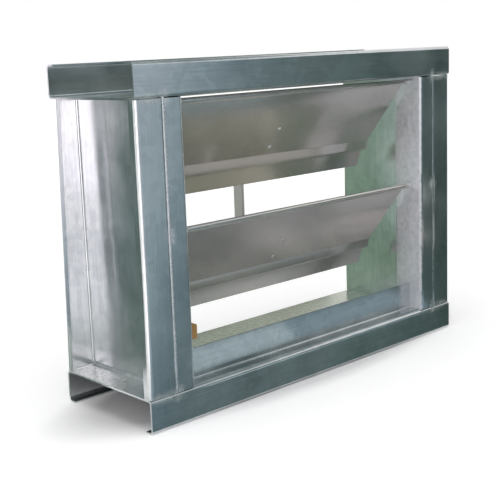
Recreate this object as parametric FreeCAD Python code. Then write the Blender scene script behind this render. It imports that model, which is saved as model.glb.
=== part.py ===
import FreeCAD
import Part
import math
import os

from FreeCAD import Vector

# Two-blade gravity backdraft damper for a rectangular duct.
# X runs across the duct, +Y along the airflow to the back, +Z up, origin under the middle of the frame.
# Lengths are millimetres, angles are degrees.

# Frame of four lipped channels
FRAME_WIDTH = 520.0
FRAME_HEIGHT = 380.0
FRAME_DEPTH = 152.0
FLANGE = 37.0
LIP = 11.0
CHANNEL_SHEET = 2.0
CHANNEL_BEND = 2.5
LEFT_FLANGE_TAPER = 7.0

# Folded stops beside the blades and on the sill
STOP_WIDTH = 24.0
STOP_DEPTH = 43.0
STOP_SHEET = 1.5
STOP_BEND = 2.5
SILL_STOP_SETBACK = 19.0
SILL_STOP_HEIGHT = 35.0
SILL_STOP_FOOT = 16.0
SILL_STOP_BEND = 1.5

# Blades, each curled round a pivot rod at its top edge
BLADE_SHEET = 0.8
BLADE_BEND = 1.2
ROD_RADIUS = 2.4
CURL_CLEARANCE = 0.05
CURL_TAIL = 1.4
PIVOT_SETBACK = 16.0
BLADE_OVERLAP = 5.0
SILL_OVERLAP = 8.0
BLADE_END_GAP = 10.5
NOSE_RUN = 11.0
NOSE_DROP = 5.3
STEP_RUN = 8.5
STEP_RISE = 5.5
EDGE_RUN = 20.5
EDGE_DROP = 7.0

# Blade angles from hanging straight down
REST_ANGLE = 38.0
CLOSED_ANGLE = 4.5

# Bushes for the pivot rods
BUSH_RADIUS = 3.3
BUSH_FLANGE_RADIUS = 5.0
BUSH_HEAD_GAP = 0.3
BUSH_FLANGE = 1.5
BUSH_END_PLAY = 0.5
RUNNING_FIT = 0.05
ROD_END = 3.0
ROD_CHAMFER = 0.6

# Blade brackets, their rivets and the tie bar
BRACKET_X = -5.0
BRACKET_SHEET = 1.5
BRACKET_BEND = 1.5
FOOT_WIDTH = 24.0
FOOT_LENGTH = 48.0
FOOT_FROM_EDGE = 66.0
LEG_ROOT = 6.0
LEG_RISE = 20.0
LINK_FROM_EDGE = 14.0
LINK_STANDOFF = 24.5
LINK_EYE_RADIUS = 7.0
RIVET_PITCH = 28.0
RIVET_RADIUS = 1.6
RIVET_HEAD_RADIUS = 2.6
RIVET_HEAD = 1.3
RIVET_TAIL_RADIUS = 2.5
RIVET_TAIL = 1.0
BAR_WIDTH = 14.0
BAR_THICK = 4.0
PIN_RADIUS = 2.5
PIN_HEAD_RADIUS = 4.2
PIN_HEAD = 1.8
PIN_HEAD_EDGE = 0.9
PIN_TAIL_RADIUS = 3.6
PIN_TAIL = 1.0
WASHER_RADIUS = 5.5
WASHER = 1.0
LINK_PLAY = 0.15
LOOSE_FIT = 0.3

# Rubber buffer that the lower blade closes on
BUFFER_LENGTH = 14.0
BUFFER_DEPTH = 12.0
BUFFER_HEIGHT = 16.0
BUFFER_EDGE = 1.5
BUFFER_GAP = 0.4

# Places that follow from the sizes above
FRONT = -FRAME_DEPTH / 2
BACK = FRAME_DEPTH / 2
SILL_TOP = FLANGE
HEAD_BOTTOM = FRAME_HEIGHT - FLANGE
WEB_X = FRAME_WIDTH / 2 - FLANGE
CLEAR_X = WEB_X - STOP_WIDTH
CURL_INNER = ROD_RADIUS + CURL_CLEARANCE
CURL_MID = CURL_INNER + BLADE_SHEET / 2
CURL_OUTER = CURL_INNER + BLADE_SHEET
PIVOT_Y = FRONT + PIVOT_SETBACK
UPPER_PIVOT_Z = HEAD_BOTTOM - BUSH_HEAD_GAP - BUSH_FLANGE_RADIUS
SILL_STOP_TOP = SILL_TOP + SILL_STOP_HEIGHT
PIVOT_PITCH = (UPPER_PIVOT_Z - SILL_STOP_TOP + SILL_OVERLAP - BLADE_OVERLAP) / 2
BLADE_LENGTH = PIVOT_PITCH + BLADE_OVERLAP
PIVOT_Z = {"upper": UPPER_PIVOT_Z, "lower": UPPER_PIVOT_Z - PIVOT_PITCH}
PANEL_BACK = CURL_OUTER
PANEL_FRONT = CURL_INNER
FOOT_TOP = PANEL_BACK + BRACKET_SHEET
LEG_X = BRACKET_X - FOOT_WIDTH / 2
LINK_DOWN = BLADE_LENGTH - LINK_FROM_EDGE
FOOT_DOWN = BLADE_LENGTH - FOOT_FROM_EDGE
BAR_RIGHT = LEG_X - WASHER - LINK_PLAY
BAR_LEFT = BAR_RIGHT - BAR_THICK

SHORTEST_EDGE = 0.01
X_AXIS = Vector(1, 0, 0)
Y_AXIS = Vector(0, 1, 0)


def folded_wire(corners, sheet, place):
    """Closed outline of a folded sheet.

    corners lists (a, b, inside bend radius) along the sheet's middle, and place maps (a, b) to space.
    """
    half = sheet / 2
    count = len(corners)
    spots = [Vector(a, b, 0) for a, b, bend in corners]
    ways = [(spots[i + 1] - spots[i]).normalize() for i in range(count - 1)]
    sides = [Vector(-way.y, way.x, 0) for way in ways]
    folds = {}
    for i in range(1, count - 1):
        turn = math.atan2(ways[i - 1].cross(ways[i]).z, ways[i - 1].dot(ways[i]))
        radius = corners[i][2] + half
        cut = radius * math.tan(abs(turn) / 2)
        hand = math.copysign(1, turn)
        centre = spots[i] - ways[i - 1] * cut + sides[i - 1] * (hand * radius)
        folds[i] = (cut, radius, hand, centre)

    def to_space(spot):
        return place(spot.x, spot.y)

    def side_edges(offset):
        edges = []
        for i in range(count - 1):
            start = spots[i] + sides[i] * offset
            end = spots[i + 1] + sides[i] * offset
            if i in folds:
                start += ways[i] * folds[i][0]
            if i + 1 in folds:
                end -= ways[i] * folds[i + 1][0]
            if (end - start).Length > SHORTEST_EDGE:
                edges.append(Part.LineSegment(to_space(start), to_space(end)).toShape())
            if i + 1 in folds:
                cut, radius, hand, centre = folds[i + 1]
                reach = -hand * (radius - hand * offset)
                middle = (sides[i] + sides[i + 1]).normalize()
                points = [to_space(centre + side * reach) for side in (sides[i], middle, sides[i + 1])]
                edges.append(Part.Arc(*points).toShape())
        return edges

    near = side_edges(half)
    far = side_edges(-half)
    first = Part.LineSegment(near[0].firstVertex().Point, far[0].firstVertex().Point).toShape()
    last = Part.LineSegment(near[-1].lastVertex().Point, far[-1].lastVertex().Point).toShape()
    return Part.Wire(near + [last] + far[::-1] + [first])


def folded_sheet(corners, sheet, place, run):
    """Solid of a folded sheet drawn out along run."""
    return Part.Face(folded_wire(corners, sheet, place)).extrude(run)


def channel_corners(back_flange):
    """Lipped channel as (depth, distance out from the opening's side of its web, bend)."""
    half = CHANNEL_SHEET / 2
    return [
        (FRONT + LIP, FLANGE - half, 0),
        (FRONT + half, FLANGE - half, CHANNEL_BEND),
        (FRONT + half, half, CHANNEL_BEND),
        (BACK - half, half, CHANNEL_BEND),
        (BACK - half, back_flange - half, CHANNEL_BEND),
        (BACK - LIP, back_flange - half, 0),
    ]


def rail(base, outward):
    """Head or sill channel over the full width, with its web's inner face at base."""
    def place(depth, out):
        return Vector(-FRAME_WIDTH / 2, depth, base + outward * out)

    return folded_sheet(channel_corners(FLANGE), CHANNEL_SHEET, place, X_AXIS * FRAME_WIDTH)


def jamb_channel(side, taper):
    """Upright channel between sill and head, its back flange narrower at the top by taper."""
    def outline(height, back_flange):
        def place(depth, out):
            return Vector(side * (WEB_X + out), depth, height)

        return folded_wire(channel_corners(back_flange), CHANNEL_SHEET, place)

    return Part.makeLoft([outline(SILL_TOP, FLANGE), outline(HEAD_BOTTOM, FLANGE - taper)], True, True)


def jamb_stop(side):
    """Folded upright that carries the bushes, with a front leg, a side leg and a return to the web."""
    half = STOP_SHEET / 2
    corners = [
        (0, FRONT + half, 0),
        (STOP_WIDTH - half, FRONT + half, STOP_BEND),
        (STOP_WIDTH - half, FRONT + STOP_DEPTH - half, STOP_BEND),
        (0, FRONT + STOP_DEPTH - half, 0),
    ]

    def place(inward, depth):
        return Vector(side * (WEB_X - inward), depth, SILL_TOP)

    upright = folded_sheet(corners, STOP_SHEET, place, Vector(0, 0, HEAD_BOTTOM - SILL_TOP))
    for height in PIVOT_Z.values():
        hole = Part.makeCylinder(
            BUSH_RADIUS, STOP_WIDTH, Vector(side * CLEAR_X, PIVOT_Y, height), X_AXIS * side)
        upright = upright.cut(hole)
    return upright


def sill_stop():
    """Angle on the sill whose upstand the lower blade closes behind."""
    half = STOP_SHEET / 2
    upstand = FRONT + SILL_STOP_SETBACK + half
    corners = [
        (upstand + half - SILL_STOP_FOOT, SILL_TOP + half, 0),
        (upstand, SILL_TOP + half, SILL_STOP_BEND),
        (upstand, SILL_STOP_TOP, 0),
    ]

    def place(depth, height):
        return Vector(-CLEAR_X, depth, height)

    return folded_sheet(corners, STOP_SHEET, place, X_AXIS * (2 * CLEAR_X))


def nose_corner():
    """The blade's nose as (back, up) of a blade hanging from its pivot."""
    return CURL_MID - NOSE_DROP, -(BLADE_LENGTH - STEP_RUN - EDGE_RUN)


def blade_corners():
    """Blade hanging from its pivot, as (back, up, bend): curl, panel, nose, step and closing edge."""
    nose = nose_corner()
    step = (nose[0] + STEP_RISE, nose[1] - STEP_RUN)
    return [
        (CURL_TAIL, -CURL_MID, 0),
        (-CURL_MID, -CURL_MID, CURL_INNER),
        (-CURL_MID, CURL_MID, CURL_INNER),
        (CURL_MID, CURL_MID, CURL_INNER),
        (CURL_MID, nose[1] + NOSE_RUN, BLADE_BEND),
        (*nose, BLADE_BEND),
        (*step, BLADE_BEND),
        (step[0] - EDGE_DROP, -BLADE_LENGTH, 0),
    ]


def rivet_heights():
    """Heights of a bracket's two rivets below the pivot."""
    return [-FOOT_DOWN + shift * RIVET_PITCH / 2 for shift in (1, -1)]


def rivet_holes():
    """Cutters for the rivets through panel and bracket foot."""
    return [
        Part.makeCylinder(RIVET_RADIUS, FOOT_TOP, Vector(BRACKET_X, 0, height), Y_AXIS)
        for height in rivet_heights()
    ]


def blade():
    """Blade sheet with its rivet holes, hanging from the origin."""
    half_length = CLEAR_X - BLADE_END_GAP

    def place(back, up):
        return Vector(-half_length, back, up)

    sheet = folded_sheet(blade_corners(), BLADE_SHEET, place, X_AXIS * (2 * half_length))
    return sheet.cut(rivet_holes())


def pivot_rod():
    """Rod through the curl, running in a bush at each end."""
    reach = CLEAR_X + STOP_SHEET + BUSH_FLANGE + ROD_END
    rod = Part.makeCylinder(ROD_RADIUS, 2 * reach, Vector(-reach, 0, 0), X_AXIS)
    ends = [edge for edge in rod.Edges if edge.Curve.TypeId == "Part::GeomCircle"]
    return rod.makeChamfer(ROD_CHAMFER, ends)


def bracket():
    """Riveted foot with a side leg that reaches back to the tie bar."""
    half = BRACKET_SHEET / 2
    foot_low = -FOOT_DOWN - FOOT_LENGTH / 2
    foot_high = foot_low + FOOT_LENGTH
    root = PANEL_BACK + LEG_ROOT
    corners = [
        (LEG_X + FOOT_WIDTH, PANEL_BACK + half, 0),
        (LEG_X + half, PANEL_BACK + half, BRACKET_BEND),
        (LEG_X + half, root, 0),
    ]

    def place(across, back):
        return Vector(across, back, foot_low)

    foot = folded_sheet(corners, BRACKET_SHEET, place, Vector(0, 0, FOOT_LENGTH)).cut(rivet_holes())
    eye = Vector(LEG_X, LINK_STANDOFF, -LINK_DOWN)
    heel = Vector(LEG_X, root, foot_low)
    slope = (eye - heel).normalize()
    aside = Vector(0, -slope.z, slope.y) * LINK_EYE_RADIUS
    outline = [
        heel,
        eye - aside,
        eye + aside,
        Vector(LEG_X, PANEL_BACK + LEG_RISE, foot_low + LEG_RISE),
        Vector(LEG_X, root, foot_high),
        heel,
    ]
    thickness = X_AXIS * BRACKET_SHEET
    leg = Part.Face(Part.makePolygon(outline)).extrude(thickness)
    leg = leg.fuse(Part.makeCylinder(LINK_EYE_RADIUS, BRACKET_SHEET, eye, X_AXIS))
    leg = leg.cut(Part.makeCylinder(PIN_RADIUS, BRACKET_SHEET, eye, X_AXIS))
    return foot.fuse(leg).removeSplitter()


def rivet(height):
    """Rivet with a domed head on the blade's front and a button tail on the bracket's foot."""
    crown = PANEL_FRONT - RIVET_HEAD
    spread = RIVET_HEAD_RADIUS / math.sqrt(2)
    rise = PANEL_FRONT - RIVET_HEAD / math.sqrt(2)
    profile = [
        (RIVET_HEAD_RADIUS, PANEL_FRONT),
        (RIVET_RADIUS, PANEL_FRONT),
        (RIVET_RADIUS, FOOT_TOP),
        (RIVET_TAIL_RADIUS, FOOT_TOP),
        (RIVET_TAIL_RADIUS, FOOT_TOP + RIVET_TAIL),
        (0, FOOT_TOP + RIVET_TAIL),
        (0, crown),
    ]
    points = [Vector(BRACKET_X + out, back, height) for out, back in profile]
    edges = [Part.LineSegment(points[i], points[i + 1]).toShape() for i in range(len(points) - 1)]
    edges.append(Part.Arc(points[-1], Vector(BRACKET_X + spread, rise, height), points[0]).toShape())
    centre = Vector(BRACKET_X, 0, height)
    return Part.Face(Part.Wire(edges)).revolve(centre, Y_AXIS, 360)


def link_centre():
    """The tie bar's pin on a blade, hanging from the origin."""
    return Vector(0, LINK_STANDOFF, -LINK_DOWN)


def disc(radius, start, thickness):
    """Round piece about the link's axis, from start along +X."""
    return Part.makeCylinder(radius, thickness, link_centre() + X_AXIS * start, X_AXIS)


def link_pin():
    """Shouldered pin, peened into the bracket's leg with its head outside the tie bar."""
    head_right = BAR_LEFT - LINK_PLAY
    leg_right = LEG_X + BRACKET_SHEET
    head = disc(PIN_HEAD_RADIUS, head_right - PIN_HEAD, PIN_HEAD)
    rim = [edge for edge in head.Edges if edge.Curve.TypeId == "Part::GeomCircle"]
    outer_rim = min(rim, key=lambda edge: edge.CenterOfMass.x)
    head = head.makeFillet(PIN_HEAD_EDGE, [outer_rim])
    shank = disc(PIN_RADIUS, head_right, leg_right - head_right)
    tail = disc(PIN_TAIL_RADIUS, leg_right, PIN_TAIL)
    return head.fuse([shank, tail]).removeSplitter()


def link_washer():
    """Washer on the pin between the bracket's leg and the tie bar."""
    start = LEG_X - WASHER
    return disc(WASHER_RADIUS, start, WASHER).cut(disc(PIN_RADIUS + RUNNING_FIT, start, WASHER))


def bush(side, height):
    """Bush with its flange behind a jamb stop's side leg and a sleeve that reaches in to the curl."""
    out = X_AXIS * side
    sleeve_length = BLADE_END_GAP - BUSH_END_PLAY + STOP_SHEET
    seat = Vector(side * (CLEAR_X + STOP_SHEET), PIVOT_Y, height)
    inner = seat - out * sleeve_length
    flange = Part.makeCylinder(BUSH_FLANGE_RADIUS, BUSH_FLANGE, seat, out)
    sleeve = Part.makeCylinder(BUSH_RADIUS, sleeve_length, inner, out)
    bore = Part.makeCylinder(ROD_RADIUS + RUNNING_FIT, sleeve_length + BUSH_FLANGE, inner, out)
    return flange.fuse(sleeve).removeSplitter().cut(bore)


def closing_buffer():
    """Block on the left stop's side leg, just in front of the closed lower blade's nose."""
    nose = FreeCAD.Rotation(X_AXIS, CLOSED_ANGLE).multVec(Vector(0, *nose_corner()))
    back_face = PIVOT_Y + nose.y - BLADE_SHEET / 2 - BUFFER_GAP
    low = PIVOT_Z["lower"] + nose.z - BUFFER_HEIGHT / 2
    corner = Vector(-CLEAR_X, back_face - BUFFER_DEPTH, low)
    block = Part.makeBox(BUFFER_LENGTH, BUFFER_DEPTH, BUFFER_HEIGHT, corner)
    fixed_face = [face for face in block.Faces if abs(face.CenterOfMass.x + CLEAR_X) < BUFFER_EDGE][0]
    free_edges = [edge for edge in block.Edges if not any(edge.isSame(rim) for rim in fixed_face.Edges)]
    return block.makeFillet(BUFFER_EDGE, free_edges)


def hang(shape, height):
    """Swing a shape that hangs from the origin to the rest angle and bring it to its pivot."""
    placed = shape.copy()
    placed.rotate(Vector(), X_AXIS, REST_ANGLE)
    placed.translate(Vector(0, PIVOT_Y, height))
    return placed


def link_at_rest(height):
    """The tie bar's pin centre on a blade at the rest angle."""
    return FreeCAD.Rotation(X_AXIS, REST_ANGLE).multVec(link_centre()) + Vector(0, PIVOT_Y, height)


def tie_bar():
    """Flat bar with rounded ends that joins the two brackets and stays upright."""
    top = link_at_rest(PIVOT_Z["upper"])
    low = link_at_rest(PIVOT_Z["lower"])
    shift = X_AXIS * BAR_LEFT
    half = BAR_WIDTH / 2
    strip = Part.makeBox(BAR_THICK, BAR_WIDTH, top.z - low.z, low + shift - Y_AXIS * half)
    ends = [Part.makeCylinder(half, BAR_THICK, eye + shift, X_AXIS) for eye in (top, low)]
    holes = [
        Part.makeCylinder(PIN_RADIUS + fit, BAR_THICK, eye + shift, X_AXIS)
        for eye, fit in ((top, RUNNING_FIT), (low, LOOSE_FIT))
    ]
    return strip.fuse(ends).removeSplitter().cut(holes)


def build_pieces():
    """Every piece of the damper by its node name."""
    pieces = {
        "head_channel": rail(HEAD_BOTTOM, 1),
        "sill_channel": rail(SILL_TOP, -1),
        "left_jamb_channel": jamb_channel(-1, LEFT_FLANGE_TAPER),
        "right_jamb_channel": jamb_channel(1, 0.0),
        "left_jamb_stop": jamb_stop(-1),
        "right_jamb_stop": jamb_stop(1),
        "sill_stop": sill_stop(),
        "closing_buffer": closing_buffer(),
        "tie_bar": tie_bar(),
    }
    for row, height in PIVOT_Z.items():
        for name, side in (("left", -1), ("right", 1)):
            pieces[f"{row}_{name}_bush"] = bush(side, height)
        pieces[f"{row}_blade"] = hang(blade(), height)
        pieces[f"{row}_pivot_rod"] = hang(pivot_rod(), height)
        pieces[f"{row}_bracket"] = hang(bracket(), height)
        rivets = Part.makeCompound([rivet(down) for down in rivet_heights()])
        pieces[f"{row}_bracket_rivets"] = hang(rivets, height)
        pieces[f"{row}_link_pin"] = hang(link_pin(), height)
        pieces[f"{row}_link_washer"] = hang(link_washer(), height)
    return pieces


def main():
    """Write one STEP file for each piece."""
    os.makedirs("parts", exist_ok=True)
    for name, shape in build_pieces().items():
        shape.exportStep(f"parts/{name}.step")
        print(f"{name}: {len(shape.Solids)} solid, {shape.Volume:.0f} mm3, valid {shape.isValid()}")


main()
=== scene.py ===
"""Looks of a duct backdraft damper: channel frame, folded blades, linkage, studio and camera."""

import logging
import math
from dataclasses import dataclass, field, replace
from enum import Enum

import bpy
from mathutils import Euler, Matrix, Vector


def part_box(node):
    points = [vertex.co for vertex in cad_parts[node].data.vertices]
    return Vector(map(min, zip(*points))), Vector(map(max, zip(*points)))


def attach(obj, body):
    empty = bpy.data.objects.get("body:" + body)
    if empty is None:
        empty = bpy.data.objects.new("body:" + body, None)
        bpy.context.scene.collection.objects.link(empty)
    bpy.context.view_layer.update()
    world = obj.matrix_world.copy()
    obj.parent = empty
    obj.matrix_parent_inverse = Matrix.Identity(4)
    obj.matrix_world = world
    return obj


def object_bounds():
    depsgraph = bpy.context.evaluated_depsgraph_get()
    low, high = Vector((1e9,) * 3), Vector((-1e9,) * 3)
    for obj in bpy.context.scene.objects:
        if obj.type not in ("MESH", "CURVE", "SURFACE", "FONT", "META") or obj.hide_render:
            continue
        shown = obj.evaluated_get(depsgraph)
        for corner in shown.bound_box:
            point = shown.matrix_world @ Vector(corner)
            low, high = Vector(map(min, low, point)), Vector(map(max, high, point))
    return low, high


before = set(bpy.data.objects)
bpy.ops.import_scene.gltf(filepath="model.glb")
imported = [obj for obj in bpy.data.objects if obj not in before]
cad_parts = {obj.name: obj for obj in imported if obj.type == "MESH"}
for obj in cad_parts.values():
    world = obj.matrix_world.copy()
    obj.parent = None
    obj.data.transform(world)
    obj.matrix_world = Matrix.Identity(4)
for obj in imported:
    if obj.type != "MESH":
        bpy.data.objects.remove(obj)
CAD_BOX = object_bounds()

MM = 0.001

# Places of a Mix node's colour sockets, which share their names with its other kinds
MIX_FACTOR, MIX_A, MIX_B, MIX_RESULT = 0, 6, 7, 2

log = logging.getLogger("damper")

Triple = tuple[float, float, float]
Tree = bpy.types.NodeTree
Socket = bpy.types.NodeSocket
Seam = tuple[Vector, Vector]


class Grain(Enum):
    """Direction in which a sheet was rolled, along which its streaks run."""

    ACROSS = 0
    UPRIGHT = 2


def linear(code: str) -> tuple[float, float, float, float]:
    """Turn an sRGB hex colour into linear values.

    Args:
        code: Colour such as "8a9599".

    Returns:
        Linear red, green and blue, and an alpha of one.
    """
    parts = [int(code[i:i + 2], 16) / 255 for i in (0, 2, 4)]
    red, green, blue = [c / 12.92 if c <= 0.04045 else ((c + 0.055) / 1.055) ** 2.4 for c in parts]
    return red, green, blue, 1.0


def per_metre(pitch_mm: float) -> float:
    """Texture scale that repeats a pattern every so many millimetres."""
    return 1 / (pitch_mm * MM)


def add_node(tree: Tree, kind: str, inputs: dict[str | int, object] | None = None,
             **settings: object) -> bpy.types.Node:
    """Add a node with its settings, values and links.

    Args:
        tree: Tree that gets the node.
        kind: The node's class name.
        inputs: Value or output socket for each input, by name or place.
        settings: The node's own properties.

    Returns:
        The new node.
    """
    node = tree.nodes.new(kind)
    for name, value in settings.items():
        setattr(node, name, value)
    for key, value in (inputs or {}).items():
        if isinstance(value, Socket):
            tree.links.new(value, node.inputs[key])
        else:
            node.inputs[key].default_value = value
    return node


def start_material(name: str) -> tuple[bpy.types.Material, Tree, bpy.types.Node]:
    """Start a material that holds only its surface shader.

    Args:
        name: Common name of the real material.

    Returns:
        The material, its node tree and its shader node.
    """
    material = bpy.data.materials.new(name)
    material.use_nodes = True
    tree = material.node_tree
    tree.nodes.clear()
    shader = add_node(tree, "ShaderNodeBsdfPrincipled")
    add_node(tree, "ShaderNodeOutputMaterial", {"Surface": shader.outputs["BSDF"]})
    return material, tree, shader


@dataclass(frozen=True)
class Coat:
    """Thin pale coat on metal, such as zinc spray, bloom, film, a pale patch or painted light: a spot in mm
    and its cover.
    """

    centre: Triple
    reach: Triple
    cover: float = 0.4


# Coats that lie all over a piece: a dull bloom on plated steel and a thin oxide film on aluminium
ALL_OVER = ((0.0, 0.0, 190.0), (900.0, 900.0, 900.0))
DULLED = Coat(*ALL_OVER, 0.8)
FILMED = Coat(*ALL_OVER, 0.2)


@dataclass(frozen=True)
class SheetMetal:
    """Rolled sheet: streaks along the rolling, handling smudges, coating crystals and slight waviness.

    Real rolling marks are finer than the picture can show, so they are drawn about 1 to 4 mm wide.
    """

    name: str
    tones: tuple[str, str, str]
    grain: Grain
    roughness: tuple[float, float]
    streak_mm: tuple[float, float] = (2.5, 60.0)
    streak_share: float = 0.4
    smudge_mm: float = 85.0
    smudge_share: float = 0.7
    smudge_span: tuple[float, float] = (0.3, 0.7)
    crystal_mm: float = 9.0
    crystal_share: float = 0.12
    tone_places: Triple = (0.2, 0.5, 0.8)
    wave_mm: tuple[float, float] = (120.0, 0.25)
    scratch_height_mm: float = 0.003
    coats: tuple[Coat, ...] = ()
    coat_tone: str = "b9bfc1"
    coat_roughness: float = 0.55
    coat_span: tuple[float, float] = (1.9, 0.7)
    ragged_mm: float = 6.0
    ragged_share: float = 1.6

    def make(self) -> bpy.types.Material:
        """Build the material.

        Returns:
            The finished material.
        """
        material, tree, shader = start_material(self.name)
        place = add_node(tree, "ShaderNodeTexCoord").outputs["Object"]
        streaks = self.streaks(tree, place)
        smudges = add_node(tree, "ShaderNodeTexNoise", {
            "Vector": place, "Scale": per_metre(self.smudge_mm), "Detail": 2.0, "Roughness": 0.5,
        }).outputs["Fac"]
        tone = self.tone(tree, place, streaks, smudges)
        dull = add_node(tree, "ShaderNodeMapRange", {
            "Value": smudges, "From Min": self.smudge_span[0], "From Max": self.smudge_span[1],
            "To Min": self.roughness[0], "To Max": self.roughness[1],
        }).outputs["Result"]
        shader.inputs["Metallic"].default_value = 1.0
        if self.coats:
            coated = self.coated(tree, place)
            tone = add_node(tree, "ShaderNodeMix", {
                MIX_FACTOR: coated, MIX_A: tone, MIX_B: linear(self.coat_tone),
            }, data_type="RGBA").outputs[MIX_RESULT]
            dull = add_node(tree, "ShaderNodeMapRange", {
                "Value": coated, "To Min": dull, "To Max": self.coat_roughness,
            }).outputs["Result"]
            bare = add_node(tree, "ShaderNodeMath", {0: 1.0, 1: coated}, operation="SUBTRACT")
            tree.links.new(bare.outputs["Value"], shader.inputs["Metallic"])
        tree.links.new(tone, shader.inputs["Base Color"])
        tree.links.new(dull, shader.inputs["Roughness"])
        tree.links.new(self.relief(tree, place, streaks), shader.inputs["Normal"])
        return material

    def streaks(self, tree: Tree, place: Socket) -> Socket:
        """Fine marks drawn out along the rolling direction.

        Args:
            tree: The material's tree.
            place: Object coordinates.

        Returns:
            Streak value, about one half.
        """
        width, length = self.streak_mm
        scale = [per_metre(width)] * 3
        scale[self.grain.value] = per_metre(length)
        drawn = add_node(tree, "ShaderNodeMapping", {"Vector": place, "Scale": scale}).outputs["Vector"]
        return add_node(tree, "ShaderNodeTexNoise", {
            "Vector": drawn, "Scale": 1.0, "Detail": 3.0, "Roughness": 0.65,
        }).outputs["Fac"]

    def tone(self, tree: Tree, place: Socket, streaks: Socket, smudges: Socket) -> Socket:
        """Mix streaks, smudges and crystals into the sheet's colour.

        Args:
            tree: The material's tree.
            place: Object coordinates.
            streaks: Streak value.
            smudges: Smudge value.

        Returns:
            The sheet's colour.
        """
        cells = add_node(tree, "ShaderNodeTexVoronoi", {
            "Vector": place, "Scale": per_metre(self.crystal_mm),
        }).outputs["Color"]
        crystal = add_node(tree, "ShaderNodeSeparateColor", {"Color": cells}).outputs["Red"]
        shares = {streaks: self.streak_share, smudges: self.smudge_share, crystal: self.crystal_share}
        level: float | Socket = (1 - sum(shares.values())) / 2
        for value, share in shares.items():
            level = add_node(tree, "ShaderNodeMath", {0: value, 1: share, 2: level},
                             operation="MULTIPLY_ADD").outputs["Value"]
        ramp = add_node(tree, "ShaderNodeValToRGB", {"Fac": level})
        stops = ramp.color_ramp.elements
        stops.new(0.5)
        for stop, code, at in zip(stops, self.tones, self.tone_places):
            stop.position = at
            stop.color = linear(code)
        return ramp.outputs["Color"]

    def coated(self, tree: Tree, place: Socket) -> Socket:
        """Mask of the coats, each thickest in its middle and ragged at its edge.

        Args:
            tree: The material's tree.
            place: Object coordinates.

        Returns:
            Each coat's cover inside it, zero well outside.
        """
        ragged = add_node(tree, "ShaderNodeTexNoise", {
            "Vector": place, "Scale": per_metre(self.ragged_mm), "Detail": 3.0, "Roughness": 0.6,
        }).outputs["Fac"]
        mask: float | Socket = 0.0
        for coat in self.coats:
            centre = [c * MM for c in coat.centre]
            reach = [r * MM for r in coat.reach]
            offset = add_node(tree, "ShaderNodeVectorMath", {0: place, 1: centre},
                              operation="SUBTRACT").outputs["Vector"]
            shares = add_node(tree, "ShaderNodeVectorMath", {0: offset, 1: reach},
                              operation="DIVIDE").outputs["Vector"]
            distance = add_node(tree, "ShaderNodeVectorMath", {0: shares},
                                operation="LENGTH").outputs["Value"]
            torn = add_node(tree, "ShaderNodeMath", {0: ragged, 1: self.ragged_share, 2: distance},
                            operation="MULTIPLY_ADD").outputs["Value"]
            inside = add_node(tree, "ShaderNodeMapRange", {
                "Value": torn, "From Min": self.coat_span[0], "From Max": self.coat_span[1],
                "To Min": 0.0, "To Max": coat.cover,
            }).outputs["Result"]
            mask = add_node(tree, "ShaderNodeMath", {0: inside, 1: mask},
                            operation="MAXIMUM").outputs["Value"]
        return mask

    def relief(self, tree: Tree, place: Socket, streaks: Socket) -> Socket:
        """Slight waviness of the sheet with the streaks' fine relief on it.

        Args:
            tree: The material's tree.
            place: Object coordinates.
            streaks: Streak value.

        Returns:
            The bumped normal.
        """
        pitch, height = self.wave_mm
        waves = add_node(tree, "ShaderNodeTexNoise", {
            "Vector": place, "Scale": per_metre(pitch), "Detail": 1.0,
        }).outputs["Fac"]
        wavy = add_node(tree, "ShaderNodeBump", {
            "Height": waves, "Strength": 1.0, "Distance": height * MM,
        }).outputs["Normal"]
        return add_node(tree, "ShaderNodeBump", {
            "Height": streaks, "Strength": 1.0, "Distance": self.scratch_height_mm * MM, "Normal": wavy,
        }).outputs["Normal"]


@dataclass(frozen=True)
class Moulded:
    """Moulded plastic or rubber: even colour with faint clouding and a fine matt skin."""

    name: str
    tones: tuple[str, str]
    roughness: float
    cloud_mm: float
    skin_mm: float
    skin_height_mm: float

    def make(self) -> bpy.types.Material:
        """Build the material.

        Returns:
            The finished material.
        """
        material, tree, shader = start_material(self.name)
        place = add_node(tree, "ShaderNodeTexCoord").outputs["Object"]
        clouds = add_node(tree, "ShaderNodeTexNoise", {
            "Vector": place, "Scale": per_metre(self.cloud_mm), "Detail": 3.0,
        }).outputs["Fac"]
        skin = add_node(tree, "ShaderNodeTexNoise", {
            "Vector": place, "Scale": per_metre(self.skin_mm), "Detail": 2.0,
        }).outputs["Fac"]
        tone = add_node(tree, "ShaderNodeMix", {
            MIX_FACTOR: clouds, MIX_A: linear(self.tones[0]), MIX_B: linear(self.tones[1]),
        }, data_type="RGBA").outputs[MIX_RESULT]
        normal = add_node(tree, "ShaderNodeBump", {
            "Height": skin, "Distance": self.skin_height_mm * MM,
        }).outputs["Normal"]
        tree.links.new(tone, shader.inputs["Base Color"])
        tree.links.new(normal, shader.inputs["Normal"])
        shader.inputs["Roughness"].default_value = self.roughness
        return material


# Hot-dip galvanised sheet gives the eye a satin mirror, cloudy and faintly spangled, streaked along the piece
ZINC_TONES = ("b2b7b9", "cdd1d2", "e2e5e5")
RAIL_ZINC = SheetMetal("galvanised_steel_rails", ZINC_TONES, Grain.ACROSS, (0.14, 0.26),
                       coat_tone="eef3ea", coat_roughness=0.25)
UPRIGHT_ZINC = SheetMetal("galvanised_steel_uprights", ZINC_TONES, Grain.UPRIGHT, (0.14, 0.26))

# The folded stops are the same sheet, duller, with a near-white matt coat that takes the mirror off their
# side legs: partly a dull bloom, partly painted light that lightens these faces
STOP_ZINC = SheetMetal("galvanised_steel_stops", ZINC_TONES, Grain.UPRIGHT, (0.2, 0.26),
                       streak_share=0.25, coat_tone="f2f4fa")

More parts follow.
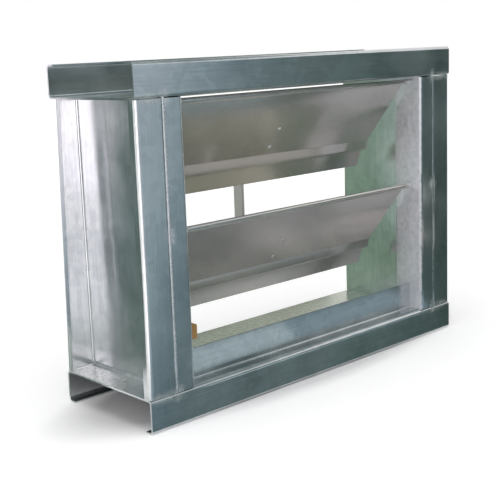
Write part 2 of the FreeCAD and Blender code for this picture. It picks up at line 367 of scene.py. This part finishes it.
# A bare weld is dull, brownish grey and blotched by heat
HEAT_TINTED_STEEL = SheetMetal("heat_tinted_steel", ("86807f", "a19c9b", "bab6b4"), Grain.ACROSS,
                               (0.42, 0.55), streak_mm=(2.0, 4.0), smudge_mm=14.0, crystal_mm=2.0)

# A weld sprayed with zinc is paler than the sheet and has no mirror left
ZINC_SPRAYED_WELD = SheetMetal("zinc_sprayed_weld", ("a9b0b2", "c0c6c8", "d4d9da"), Grain.UPRIGHT,
                               (0.5, 0.62), streak_mm=(2.0, 12.0), smudge_mm=14.0, crystal_mm=2.0)

# Mill finish aluminium, rolled: a soft warm mirror drawn out along the blade, under a thin greyish film
MILL_ALUMINIUM = SheetMetal("mill_finish_aluminium", ("c8c5c1", "d2cfcb", "dcd9d5"), Grain.ACROSS,
                            (0.12, 0.18), streak_mm=(4.0, 220.0), streak_share=0.3, crystal_share=0.0,
                            wave_mm=(100.0, 0.15), scratch_height_mm=0.0015,
                            coats=(FILMED,), coat_tone="d6d3cf", coat_roughness=0.2)

# Zinc plate gone dull: light warm grey that scatters nearly all of its light
ZINC_PLATE = SheetMetal("zinc_plated_steel", ("cfcec9", "dcdad5", "e6e4df"), Grain.UPRIGHT, (0.6, 0.7),
                        streak_mm=(1.2, 30.0), smudge_mm=18.0, crystal_share=0.0,
                        coats=(DULLED,), coat_tone="dad8d2")

# Rivets pressed from plain aluminium: small bright heads with a blurred highlight
RIVET_ALUMINIUM = SheetMetal("rivet_aluminium", ("d5d5d2", "e2e2df", "ecece9"), Grain.ACROSS, (0.5, 0.56),
                             streak_mm=(0.8, 2.0), smudge_mm=4.0, crystal_share=0.0, wave_mm=(6.0, 0.02))

# Moulded gum rubber is matt and tan, a little cloudy
GUM_RUBBER = Moulded("gum_rubber", ("a8844a", "8c6a34"), 0.7, cloud_mm=6.0, skin_mm=0.8, skin_height_mm=0.05)

# Moulded nylon is milky grey with a soft sheen
NYLON = Moulded("nylon", ("cbcdcc", "b7babb"), 0.42, cloud_mm=3.0, skin_mm=0.5, skin_height_mm=0.01)


def dress(names: list[str], material: bpy.types.Material) -> None:
    """Give CAD nodes a finish.

    Args:
        names: Node names.
        material: The finish.
    """
    for name in names:
        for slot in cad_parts[name].material_slots:
            slot.material = material
        log.info("%s is %s", name, material.name)


@dataclass(frozen=True)
class WeldBead:
    """Fillet weld laid as overlapping ripples along its seam."""

    radius_mm: float = 2.0
    ripple_mm: float = 1.5
    unevenness: float = 0.22
    seed: int = 11
    ripple_segments: int = 8
    ripple_rings: int = 5

    def tree(self) -> Tree:
        """Build the node tree that lays ripples along the edges of a mesh.

        Returns:
            The tree, with named inputs for the bead's sizes.
        """
        tree = bpy.data.node_groups.new("weld_bead", "GeometryNodeTree")
        sockets = {
            "Geometry": "NodeSocketGeometry", "Bead radius": "NodeSocketFloat",
            "Ripple pitch": "NodeSocketFloat", "Unevenness": "NodeSocketFloat",
            "Seed": "NodeSocketInt", "Material": "NodeSocketMaterial",
        }
        for name, kind in sockets.items():
            tree.interface.new_socket(name, in_out="INPUT", socket_type=kind)
        tree.interface.new_socket("Geometry", in_out="OUTPUT", socket_type="NodeSocketGeometry")
        given = add_node(tree, "NodeGroupInput").outputs
        seam = add_node(tree, "GeometryNodeMeshToCurve", {"Mesh": given["Geometry"]}).outputs["Curve"]
        spots = add_node(tree, "GeometryNodeResampleCurve", {
            "Curve": seam, "Length": given["Ripple pitch"],
        }, mode="LENGTH").outputs["Curve"]
        ripple = add_node(tree, "GeometryNodeMeshUVSphere", {
            "Segments": self.ripple_segments, "Rings": self.ripple_rings, "Radius": given["Bead radius"],
        }).outputs["Mesh"]
        smooth = add_node(tree, "GeometryNodeSetShadeSmooth", {"Geometry": ripple}).outputs["Geometry"]
        smallest = add_node(tree, "ShaderNodeMath", {0: 1.0, 1: given["Unevenness"]},
                            operation="SUBTRACT").outputs["Value"]
        largest = add_node(tree, "ShaderNodeMath", {0: 1.0, 1: given["Unevenness"]},
                           operation="ADD").outputs["Value"]
        size = add_node(tree, "FunctionNodeRandomValue", {
            "Min": smallest, "Max": largest, "Seed": given["Seed"],
        }, data_type="FLOAT").outputs[1]
        laid = add_node(tree, "GeometryNodeInstanceOnPoints", {
            "Points": spots, "Instance": smooth, "Scale": size,
        }).outputs["Instances"]
        solid = add_node(tree, "GeometryNodeRealizeInstances", {"Geometry": laid}).outputs["Geometry"]
        finished = add_node(tree, "GeometryNodeSetMaterial", {
            "Geometry": solid, "Material": given["Material"],
        }).outputs["Geometry"]
        add_node(tree, "NodeGroupOutput", {"Geometry": finished})
        return tree

    def lay(self, name: str, seams: list[Seam], material: bpy.types.Material) -> bpy.types.Object:
        """Lay beads along straight seams and turn them into one plain mesh.

        Args:
            name: The piece's name.
            seams: Start and end of each seam, in metres.
            material: The weld's finish.

        Returns:
            The welds as one object at the origin.
        """
        path = bpy.data.meshes.new(name + "_seams")
        points = [point for seam in seams for point in seam]
        path.from_pydata(points, [(i, i + 1) for i in range(0, len(points), 2)], [])
        piece = bpy.data.objects.new(name, path)
        bpy.context.scene.collection.objects.link(piece)
        modifier = piece.modifiers.new("weld_bead", "NODES")
        modifier.node_group = self.tree()
        values = {
            "Bead radius": self.radius_mm * MM, "Ripple pitch": self.ripple_mm * MM,
            "Unevenness": self.unevenness, "Seed": self.seed, "Material": material,
        }
        for item in modifier.node_group.interface.items_tree:
            if item.name in values:
                modifier[item.identifier] = values[item.name]
        ready = piece.evaluated_get(bpy.context.evaluated_depsgraph_get())
        welds = bpy.data.meshes.new_from_object(ready)
        piece.modifiers.clear()
        piece.data = welds
        return piece


@dataclass
class ChannelFrame:
    """Welded frame of four lipped channels, with the folded stops, bushes and buffer in it."""

    rails: list[str] = field(default_factory=lambda: ["head_channel", "sill_channel"])
    jambs: list[str] = field(default_factory=lambda: ["left_jamb_channel", "right_jamb_channel"])
    stops: list[str] = field(default_factory=lambda: ["left_jamb_stop", "right_jamb_stop"])
    sides: tuple[int, int] = (-1, 1)
    sheet_mm: float = 2.0
    bend_mm: float = 4.5
    bead_inset_mm: float = 0.6
    bead_proud_mm: float = 0.4
    corner_bead: WeldBead = WeldBead()
    stop_bead: WeldBead = WeldBead(radius_mm=2.2, ripple_mm=1.2, unevenness=0.12)
    joint_spray_mm: Triple = (26.0, 12.0, 6.0)
    corner_spray_mm: Triple = (9.0, 12.0, 10.0)
    pivot_spray_mm: Triple = (8.0, 12.0, 11.0)
    # Near-white coat on the stops' side legs: partly a dull bloom, partly painted light that lightens them
    bloom_and_light_rise_mm: float = 150.0
    bloom_and_light_reach_mm: Triple = (2.0, 90.0, 420.0)
    bloom_and_light_cover: float = 0.85
    # Pale, duller coat on the sill behind its stop
    pale_back_mm: float = 30.0
    pale_back_reach_mm: Triple = (700.0, 84.0, 2.0)
    pale_back_cover: float = 0.6

    def dress(self) -> None:
        """Give channels and stops their zinc, streaked along each piece, and the small pieces theirs."""
        spray = self.weld_spray()
        dress(self.rails + ["sill_stop"], replace(RAIL_ZINC, coats=spray + (self.pale_back_coat(),)).make())
        dress(self.jambs, replace(UPRIGHT_ZINC, coats=spray).make())
        # The stops' side legs get a near-white coat that is partly painted light
        dress(self.stops, replace(STOP_ZINC, coats=spray + self.bloom_and_painted_light()).make())
        dress(["closing_buffer"], GUM_RUBBER.make())
        bushes = [f"{row}_{side}_bush" for row in ("upper", "lower") for side in ("left", "right")]
        dress(bushes, NYLON.make())

    def weld_spray(self) -> tuple[Coat, ...]:
        """Zinc spray on the front at the frame's corners and at the lower pivots' height.

        Returns:
            The sprayed spots.
        """
        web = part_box("right_jamb_channel")[0].x / MM
        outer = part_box("head_channel")[1].x / MM
        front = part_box("head_channel")[0].y / MM
        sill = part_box("sill_channel")[1].z / MM
        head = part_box("head_channel")[0].z / MM
        pivot = sum(corner.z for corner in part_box("lower_pivot_rod")) / 2 / MM
        spots = []
        for side in self.sides:
            for joint in (head, sill):
                spots.append(Coat((side * (web + outer) / 2, front, joint), self.joint_spray_mm))
                spots.append(Coat((side * web, front, joint), self.corner_spray_mm))
            spots.append(Coat((side * web, front, pivot), self.pivot_spray_mm))
        return tuple(spots)

    def bloom_and_painted_light(self) -> tuple[Coat, ...]:
        """Near-white matt coat over the side legs of both stops, partly a dull bloom and partly painted light
        that lightens them.

        Returns:
            A coat for each leg.
        """
        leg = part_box("right_jamb_stop")[0] / MM
        centres = [(side * leg.x, leg.y, leg.z + self.bloom_and_light_rise_mm) for side in self.sides]
        return tuple(Coat(centre, self.bloom_and_light_reach_mm, self.bloom_and_light_cover) for centre in centres)

    def pale_back_coat(self) -> Coat:
        """Pale, duller coat on the sill behind its stop, lighter there than the rest of the sill."""
        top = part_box("sill_channel")[1].z / MM
        return Coat((0.0, self.pale_back_mm, top), self.pale_back_reach_mm, self.pale_back_cover)

    def weld(self) -> None:
        """Lay the corner welds inside the channels and the seam welds along the jamb stops."""
        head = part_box("head_channel")[0].z
        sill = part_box("sill_channel")[1].z
        inset = self.bead_inset_mm * MM
        bare = HEAT_TINTED_STEEL.make()
        sprayed = ZINC_SPRAYED_WELD.make()
        self.fix(self.corner_bead.lay("head_welds", self.corner_seams(head - inset), bare))
        self.fix(self.corner_bead.lay("sill_welds", self.corner_seams(sill + inset), sprayed))
        self.fix(self.stop_bead.lay("stop_welds", self.stop_seams(sill, head), sprayed))

    def corner_seams(self, height: float) -> list[Seam]:
        """Seams from front to back where the jambs' webs meet the head or the sill.

        Args:
            height: The seams' height in metres.

        Returns:
            One seam for each jamb.
        """
        seams = []
        for name, side in zip(self.jambs, self.sides):
            low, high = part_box(name)
            web = side * (self.inner_edge(name) + self.sheet_mm * MM + self.bead_inset_mm * MM)
            front = low.y + self.bend_mm * MM
            back = high.y - self.bend_mm * MM
            seams.append((Vector((web, front, height)), Vector((web, back, height))))
        return seams

    def stop_seams(self, sill: float, head: float) -> list[Seam]:
        """Upright seams where the stops' front legs meet the jambs' flanges.

        Args:
            sill: Height of the sill's top in metres.
            head: Height of the head's underside in metres.

        Returns:
            One seam for each jamb.
        """
        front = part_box("head_channel")[0].y + (self.stop_bead.radius_mm - self.bead_proud_mm) * MM
        seams = []
        for name, side in zip(self.jambs, self.sides):
            edge = side * (self.inner_edge(name) + self.bead_inset_mm * MM)
            seams.append((Vector((edge, front, sill)), Vector((edge, front, head))))
        return seams

    @staticmethod
    def inner_edge(name: str) -> float:
        """Distance in metres from the middle of the damper to a jamb's inner side."""
        return min(abs(corner.x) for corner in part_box(name))

    @staticmethod
    def fix(welds: bpy.types.Object) -> None:
        """Let welds follow the frame.

        Args:
            welds: The welds' mesh.
        """
        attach(welds, "frame")
        log.info("%s has %d faces", welds.name, len(welds.data.polygons))


@dataclass
class BladeSet:
    """One blade with its rod, bracket, rivets, pin and washer."""

    row: str

    def dress(self, sheet: bpy.types.Material, plate: bpy.types.Material, rivet: bpy.types.Material) -> None:
        """Give the blade and its fittings their finishes.

        Args:
            sheet: The blade's aluminium.
            plate: Zinc plate of rod, bracket, pin and washer.
            rivet: The rivets' aluminium.
        """
        dress([f"{self.row}_blade"], sheet)
        dress([f"{self.row}_{part}" for part in ("pivot_rod", "bracket", "link_pin", "link_washer")], plate)
        dress([f"{self.row}_bracket_rivets"], rivet)


@dataclass
class Linkage:
    """The blades and the tie bar that joins them."""

    rows: tuple[str, ...] = ("upper", "lower")

    def dress(self) -> None:
        """Finish both blades and the tie bar."""
        sheet = MILL_ALUMINIUM.make()
        plate = ZINC_PLATE.make()
        rivet = RIVET_ALUMINIUM.make()
        for row in self.rows:
            BladeSet(row).dress(sheet, plate, rivet)
        dress(["tie_bar"], plate)


@dataclass(frozen=True)
class Softbox:
    """Rectangular studio lamp aimed at the damper."""

    name: str
    place_m: Triple
    size_m: tuple[float, float]
    watts: float
    colour: str = "ffffff"

    def set_up(self, target: Vector) -> None:
        """Hang the lamp.

        Args:
            target: Point that it faces.
        """
        lamp = bpy.data.lights.new(self.name, "AREA")
        lamp.shape = "RECTANGLE"
        lamp.size, lamp.size_y = self.size_m
        lamp.energy = self.watts
        lamp.color = linear(self.colour)[:3]
        holder = bpy.data.objects.new(self.name, lamp)
        holder.location = self.place_m
        holder.rotation_euler = (target - holder.location).to_track_quat("-Z", "Y").to_euler()
        holder.visible_camera = False
        bpy.context.scene.collection.objects.link(holder)
        log.info("%s gives %.1f W", self.name, self.watts)


@dataclass(frozen=True)
class Patch:
    """Area of another tone on a mirror card, between two places across it and two heights, at any depth."""

    across_m: tuple[float, float]
    height_m: tuple[float, float]
    tone: str
    depth_m: tuple[float, float] = (-9.0, 9.0)

    def lay(self, tree: Tree, place: Socket, paint: Socket) -> Socket:
        """Paint the patch over what the card has.

        Args:
            tree: The card's tree.
            place: Object coordinates.
            paint: The card's colour so far.

        Returns:
            The colour with the patch on it.
        """
        spans = (self.across_m, self.depth_m, self.height_m)
        middle = [(low + high) / 2 for low, high in spans]
        reach = [(high - low) / 2 for low, high in spans]
        offset = add_node(tree, "ShaderNodeVectorMath", {0: place, 1: middle},
                          operation="SUBTRACT").outputs["Vector"]
        shares = add_node(tree, "ShaderNodeVectorMath", {0: offset, 1: reach},
                          operation="DIVIDE").outputs["Vector"]
        sizes = add_node(tree, "ShaderNodeVectorMath", {0: shares}, operation="ABSOLUTE").outputs["Vector"]
        axes = add_node(tree, "ShaderNodeSeparateXYZ", {"Vector": sizes}).outputs
        larger = add_node(tree, "ShaderNodeMath", {0: axes["X"], 1: axes["Z"]},
                          operation="MAXIMUM").outputs["Value"]
        inside = add_node(tree, "ShaderNodeMath", {0: larger, 1: 1.0}, operation="LESS_THAN").outputs["Value"]
        return add_node(tree, "ShaderNodeMix", {
            MIX_FACTOR: inside, MIX_A: paint, MIX_B: linear(self.tone),
        }, data_type="RGBA").outputs[MIX_RESULT]


@dataclass(frozen=True)
class MirrorCard:
    """Card painted on one side that only reflections see, for the room that bare metal mirrors.

    Its tones stand at distances along one direction, in metres, and its paint glows evenly.
    """

    name: str
    corners_m: tuple[Triple, Triple, Triple, Triple]
    along: Triple
    tones: tuple[tuple[float, str], ...]
    strength: float = 1.0
    patches: tuple[Patch, ...] = ()
    hidden_from: tuple[str, ...] = ("camera", "diffuse", "transmission", "volume_scatter", "shadow")

    def set_up(self) -> None:
        """Hang the card, with its tones spread along one direction and its patches on them."""
        mesh = bpy.data.meshes.new(self.name)
        mesh.from_pydata(self.corners_m, [], [(0, 1, 2, 3)])
        mesh.materials.append(self.painted())
        card = bpy.data.objects.new(self.name, mesh)
        for ray in self.hidden_from:
            setattr(card, f"visible_{ray}", False)
        bpy.context.scene.collection.objects.link(card)
        log.info("%s stands for the room", self.name)

    def painted(self) -> bpy.types.Material:
        """Build the card's paint, clear from behind.

        Returns:
            The paint as a material.
        """
        material, tree, shader = start_material(self.name + "_paint")
        place = add_node(tree, "ShaderNodeTexCoord").outputs["Object"]
        reach = add_node(tree, "ShaderNodeVectorMath", {0: place, 1: self.along},
                         operation="DOT_PRODUCT").outputs["Value"]
        start, end = self.tones[0][0], self.tones[-1][0]
        share = add_node(tree, "ShaderNodeMapRange", {
            "Value": reach, "From Min": start, "From Max": end,
        }).outputs["Result"]
        ramp = add_node(tree, "ShaderNodeValToRGB", {"Fac": share})
        stops = ramp.color_ramp.elements
        while len(stops) < len(self.tones):
            stops.new(1.0)
        for stop, (at, code) in zip(stops, self.tones):
            stop.position = (at - start) / (end - start)
            stop.color = linear(code)
        paint = ramp.outputs["Color"]
        for patch in self.patches:
            paint = patch.lay(tree, place, paint)
        tree.links.new(paint, shader.inputs["Emission Color"])
        shader.inputs["Emission Strength"].default_value = self.strength
        shader.inputs["Base Color"].default_value = linear("000000")
        shader.inputs["Specular IOR Level"].default_value = 0.0
        behind = add_node(tree, "ShaderNodeNewGeometry").outputs["Backfacing"]
        clear = add_node(tree, "ShaderNodeBsdfTransparent").outputs["BSDF"]
        painted = add_node(tree, "ShaderNodeMixShader", {0: behind, 1: shader.outputs["BSDF"], 2: clear})
        tree.links.new(painted.outputs["Shader"], tree.get_output_node("ALL").inputs["Surface"])
        return material


# The room in front, mirrored by the front flanges: a slope that rises from the damper's foot, light at the
# upper left and dark at the lower right. Its patches light the sill stop's upstand, the blades' noses and a
# spot on the right stop by the lower pivot.
FRONT_CARD = MirrorCard(
    "front_card",
    ((-0.3, -2.4, 1.8), (4.0, -2.4, 1.8), (0.6, -0.078, 0.001), (-0.3, -0.078, 0.001)),
    along=(1.0, 0.0, -1.6),
    tones=((-0.46, "bac5ce"), (-0.34, "a6b6be"), (-0.30, "8a9ea5"), (-0.265, "72858c"), (-0.2, "6d7d7f"),
           (0.0, "697879"), (0.06, "5b6d6b"), (0.2, "546563"), (0.27, "455551"), (0.34, "4d5b59")),
    patches=(Patch((-0.155, 0.03), (0.0235, 0.0425), "b8c8ce"),
             Patch((0.03, 0.255), (0.0235, 0.0425), "93a4ae"),
             Patch((0.07, 0.38), (0.092, 0.128), "b0aeab"),
             Patch((0.38, 0.455), (0.138, 0.172), "f4f2f2")))

# The room behind, mirrored by the right jamb's web, the sill and the upper blade: green, with a light band at
# the left, a lighter right and a darker area low at the right
BACK_CARD = MirrorCard(
    "back_card",
    ((-1.0, 0.35, 0.0), (0.7, 0.35, 0.0), (0.7, 0.35, 0.75), (-1.0, 0.35, 0.75)),
    along=(1.0, 0.0, 0.0),
    tones=((-0.75, "5c6b67"), (-0.45, "5c6b67"), (-0.43, "d4d8e4"), (-0.31, "d4d8e4"), (-0.275, "768c79"),
           (-0.1, "768c79"), (0.38, "9a9e8c"), (0.56, "cdcec6"), (0.7, "cdcec6")),
    strength=1.35,
    patches=(Patch((0.05, 0.5), (0.02, 0.155), "5e6457"),))

# The ground behind, mirrored low on the right jamb's web: green, growing light to the right and the front
BACK_GROUND = MirrorCard(
    "back_ground",
    ((-0.27, 0.085, 0.002), (0.7, 0.085, 0.002), (0.7, 0.345, 0.002), (-0.42, 0.345, 0.002)),
    along=(1.0, -2.4, 0.0),
    tones=((-1.2, "6f8673"), (-0.26, "7d8f7e"), (-0.16, "8a968a"), (-0.078, "b6b8b4"), (0.0, "d0d2ce"),
           (0.05, "f0f4f0"), (0.5, "f0f4f0")),
    strength=1.35)

# A dark slope at the back left, mirrored low in the front half of the left jamb's web
LEFT_CARD = MirrorCard(
    "left_card",
    ((-0.9, 0.085, 0.001), (-0.27, 0.085, 0.001), (-0.45, 0.345, 0.2), (-0.9, 0.345, 0.2)),
    along=(1.0, 0.0, 0.0),
    tones=((-0.9, "6a7a76"), (-0.27, "6a7a76")))

# A tall window at the back left lights the front half of that web and the edge of the back lip
LEFT_WINDOW = MirrorCard(
    "left_window",
    ((-0.448, 0.345, 0.01), (-0.402, 0.345, 0.01), (-0.402, 0.345, 0.6), (-0.448, 0.345, 0.6)),
    along=(0.0, 0.0, 1.0),
    tones=((0.01, "6a7078"), (0.13, "a0a6ae"), (0.28, "f0e6ee"), (0.6, "f0e6ee")),
    strength=2.0)

# Bright ground at the front left lights the left jamb's back flange
NEAR_GROUND = MirrorCard(
    "near_ground",
    ((-0.95, -0.9, 0.0015), (-0.33, -0.9, 0.0015), (-0.33, -0.2, 0.0015), (-0.95, -0.2, 0.0015)),
    along=(1.0, 0.0, 0.0),
    tones=((-0.95, "f4eef2"), (-0.33, "f4eef2")),
    strength=2.0)

# A grey ceiling, mirrored by edges that look up
CEILING_CARD = MirrorCard(
    "ceiling_card",
    ((-2.0, 2.0, 2.2), (2.0, 2.0, 2.2), (2.0, -2.0, 2.2), (-2.0, -2.0, 2.2)),
    along=(0.0, 1.0, 0.0),
    tones=((-1.0, "98a4a8"), (1.0, "98a4a8")))


@dataclass
class Studio:
    """Pale floor, soft lamps, white surroundings and the camera."""

    floor_m: float = 16.0
    floor_colour: str = "f4f4f4"
    floor_roughness: float = 0.9
    floor_lift: tuple[float, float] = (0.3, 0.4)
    # Footprint where the floor's glow stays off: painted shade under and around the damper
    painted_shade_footprint_m: Triple = (0.27, 0.085, 1.0)
    painted_shade_span: tuple[float, float] = (1.0, 1.3)
    far_m: tuple[float, float] = (0.5, 3.0)
    surroundings: float = 0.5
    lens_mm: float = 70.25
    sensor_mm: float = 36.0
    shift: tuple[float, float] = (0.09, -0.047)
    eye_m: Triple = (-0.83825, -0.83268, 0.38604)
    aim_deg: Triple = (79.865, 2.477, -41.619)
    lamps: tuple[Softbox, ...] = (
        Softbox("front_panel", (-1.22, -1.15, 0.34), (0.45, 0.65), 3.0, "ffeaf4"),
        Softbox("overhead", (-0.2, -0.2, 1.9), (1.4, 1.4), 16.0),
    )
    cards: tuple[MirrorCard, ...] = (
        FRONT_CARD, BACK_CARD, BACK_GROUND, LEFT_CARD, LEFT_WINDOW, NEAR_GROUND, CEILING_CARD)

    def set_up(self) -> None:
        """Build the whole studio."""
        self.lay_floor()
        self.set_surroundings()
        self.place_camera()
        low, high = CAD_BOX
        for lamp in self.lamps:
            lamp.set_up((low + high) / 2)
        for card in self.cards:
            card.set_up()
        bpy.context.scene.view_settings.view_transform = "Standard"

    @staticmethod
    def seen_directly(tree: Tree) -> Socket:
        """One for rays from the camera and its reflections, zero for light that falls on the object.

        Args:
            tree: Tree of the floor's material or of the world.

        Returns:
            The mask.
        """
        path = add_node(tree, "ShaderNodeLightPath").outputs
        either = add_node(tree, "ShaderNodeMath", {
            0: path["Is Camera Ray"], 1: path["Is Glossy Ray"],
        }, operation="MAXIMUM").outputs["Value"]
        return add_node(tree, "ShaderNodeMath", {
            0: either, 1: path["Is Transmission Ray"],
        }, operation="MAXIMUM").outputs["Value"]

    def lay_floor(self) -> None:
        """Lay the floor."""
        half = self.floor_m / 2
        mesh = bpy.data.meshes.new("studio_floor")
        corners = [(-half, -half, 0), (half, -half, 0), (half, half, 0), (-half, half, 0)]
        mesh.from_pydata(corners, [], [(0, 1, 2, 3)])
        mesh.materials.append(self.floor_paint())
        floor = bpy.data.objects.new("studio_floor", mesh)
        bpy.context.scene.collection.objects.link(floor)
        log.info("studio_floor is %.0f m wide", self.floor_m)

    def floor_paint(self) -> bpy.types.Material:
        """Matt pale paint that lifts to white away from the damper and keeps its shadow, with painted shade
        where its glow stays off under and around the damper.

        Returns:
            The paint as a material.
        """
        material, tree, shader = start_material("painted_floor")
        shader.inputs["Base Color"].default_value = linear(self.floor_colour)
        shader.inputs["Roughness"].default_value = self.floor_roughness
        shader.inputs["Emission Color"].default_value = linear("ffffff")
        place = add_node(tree, "ShaderNodeTexCoord").outputs["Object"]
        shares = add_node(tree, "ShaderNodeVectorMath", {0: place, 1: self.painted_shade_footprint_m},
                          operation="DIVIDE").outputs["Vector"]
        beside = add_node(tree, "ShaderNodeVectorMath", {0: shares}, operation="LENGTH").outputs["Value"]
        away = add_node(tree, "ShaderNodeVectorMath", {0: place}, operation="LENGTH").outputs["Value"]
        # No glow within the footprint, which paints shade under and around the damper
        lift_past_painted_shade = add_node(tree, "ShaderNodeMapRange", {
            "Value": beside, "From Min": self.painted_shade_span[0], "From Max": self.painted_shade_span[1],
            "To Max": self.floor_lift[0],
        }).outputs["Result"]
        far_lift = add_node(tree, "ShaderNodeMapRange", {
            "Value": away, "From Min": self.far_m[0], "From Max": self.far_m[1], "To Max": self.floor_lift[1],
        }).outputs["Result"]
        lift = add_node(tree, "ShaderNodeMath", {0: lift_past_painted_shade, 1: far_lift}, operation="ADD").outputs["Value"]
        glow = add_node(tree, "ShaderNodeMath", {0: self.seen_directly(tree), 1: lift},
                        operation="MULTIPLY").outputs["Value"]
        tree.links.new(glow, shader.inputs["Emission Strength"])
        return material

    def set_surroundings(self) -> None:
        """Surround the damper with white, dimmer where it only lights."""
        world = bpy.data.worlds.new("white_surroundings")
        bpy.context.scene.world = world
        world.use_nodes = True
        tree = world.node_tree
        tree.nodes.clear()
        strength = add_node(tree, "ShaderNodeMapRange", {
            "Value": self.seen_directly(tree), "To Min": self.surroundings, "To Max": 1.0,
        }).outputs["Result"]
        light = add_node(tree, "ShaderNodeBackground", {"Color": linear("ffffff"), "Strength": strength})
        add_node(tree, "ShaderNodeOutputWorld", {"Surface": light.outputs["Background"]})

    def place_camera(self) -> None:
        """Stand the camera at the photograph's viewpoint."""
        data = bpy.data.cameras.new("camera")
        data.lens = self.lens_mm
        data.sensor_width = self.sensor_mm
        data.shift_x, data.shift_y = self.shift
        camera = bpy.data.objects.new("camera", data)
        camera.location = self.eye_m
        camera.rotation_euler = Euler([math.radians(a) for a in self.aim_deg])
        bpy.context.scene.collection.objects.link(camera)
        bpy.context.scene.camera = camera


def main() -> None:
    """Build and dress the damper in order, then the studio."""
    logging.basicConfig(level=logging.INFO, format="%(name)s: %(message)s")
    channels = ChannelFrame()
    channels.dress()
    channels.weld()
    Linkage().dress()
    Studio().set_up()


if __name__ == "__main__":
    main()
